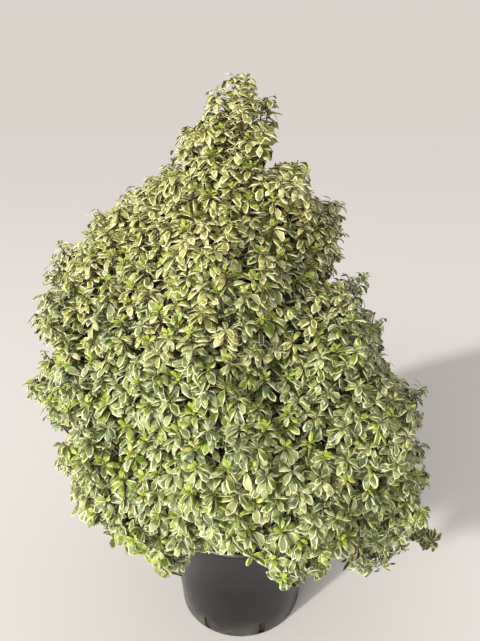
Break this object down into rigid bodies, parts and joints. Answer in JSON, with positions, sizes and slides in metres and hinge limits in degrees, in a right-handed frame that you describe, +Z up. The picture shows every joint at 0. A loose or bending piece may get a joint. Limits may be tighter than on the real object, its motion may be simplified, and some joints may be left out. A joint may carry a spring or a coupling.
{
  "type": "potted pittosporum",
  "caption": "Evergreen shrub with a broad, pyramidal crown of whorled leaves on a single trunk, standing in a tapered round nursery pot with a flat underside.",
  "frame": {"origin": "middle of the pot's flat underside, which stands on the ground", "axes": "+Z up, -Y towards the picture's camera, +X to the right as seen from the front"},
  "size_m": [1.0544, 1.0408, 1.4137],
  "materials": {
    "pot_plastic": "matt black moulded plastic, slightly greyed",
    "compost": "rough reddish-brown bark compost",
    "bark": "thin dark grey-brown bark",
    "foliage": "small leathery green leaves with cream edges"
  },
  "bodies": {
    "root": {"pot": "pot_plastic", "soil": "compost", "trunk": "bark", "bough_skirt_1": "bark", "bough_skirt_2": "bark", "bough_skirt_3": "bark", "bough_skirt_4": "bark", "bough_skirt_5": "bark", "bough_skirt_6": "bark", "bough_skirt_7": "bark", "bough_skirt_8": "bark", "bough_lower_1": "bark", "bough_lower_2": "bark", "bough_lower_3": "bark", "bough_lower_4": "bark", "bough_lower_5": "bark", "bough_lower_6": "bark", "bough_lower_7": "bark", "bough_middle_1": "bark", "bough_middle_2": "bark", "bough_middle_3": "bark", "bough_middle_4": "bark", "bough_middle_5": "bark", "bough_middle_6": "bark", "bough_upper_1": "bark", "bough_upper_2": "bark", "bough_upper_3": "bark", "bough_upper_4": "bark", "foliage_skirt_1": "foliage", "foliage_skirt_2": "foliage", "foliage_skirt_3": "foliage", "foliage_skirt_4": "foliage", "foliage_skirt_5": "foliage", "foliage_skirt_6": "foliage", "foliage_skirt_7": "foliage", "foliage_skirt_8": "foliage", "foliage_lower_1": "foliage", "foliage_lower_2": "foliage", "foliage_lower_3": "foliage", "foliage_lower_4": "foliage", "foliage_lower_5": "foliage", "foliage_lower_6": "foliage", "foliage_lower_7": "foliage", "foliage_middle_1": "foliage", "foliage_middle_2": "foliage", "foliage_middle_3": "foliage", "foliage_middle_4": "foliage", "foliage_middle_5": "foliage", "foliage_middle_6": "foliage", "foliage_upper_1": "foliage", "foliage_upper_2": "foliage", "foliage_upper_3": "foliage", "foliage_upper_4": "foliage", "foliage_shoulder_1": "foliage", "foliage_shoulder_2": "foliage", "foliage_shoulder_3": "foliage", "foliage_shoulder_4": "foliage", "foliage_neck_1": "foliage", "foliage_neck_2": "foliage", "foliage_tip_1": "foliage"}
  },
  "joints": []
}
